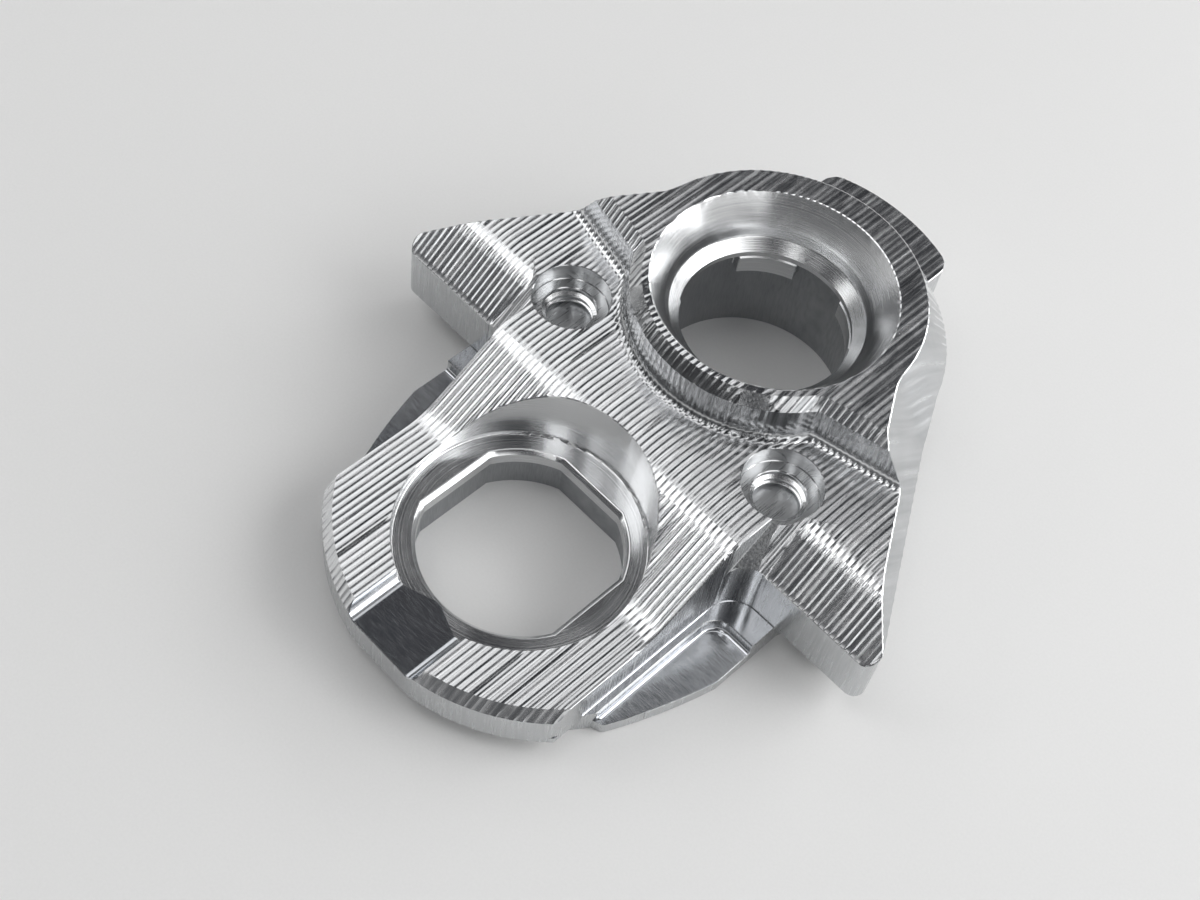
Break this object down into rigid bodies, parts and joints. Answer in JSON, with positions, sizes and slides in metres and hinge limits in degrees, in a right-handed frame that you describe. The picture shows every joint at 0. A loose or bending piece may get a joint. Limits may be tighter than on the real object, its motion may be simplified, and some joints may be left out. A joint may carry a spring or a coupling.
{
  "type": "ignition cover",
  "caption": "Milled aluminium cover plate with round bores, swept wings, a slotted front lobe and a raised boss round the rear bore.",
  "frame": {"origin": "centre of the barrel bore at the plane of the mounting face", "axes": "+Z out of the mounting face towards the boss crest, +Y from the front bore to the boss bore along the plane of symmetry, +X to the right"},
  "size_m": [0.0916, 0.1007, 0.0264],
  "materials": {
    "milled_aluminium": "bright milled with parallel cutter ridges, turned bores"
  },
  "bodies": {
    "root": {"ignition_cover": "milled_aluminium"}
  },
  "joints": []
}
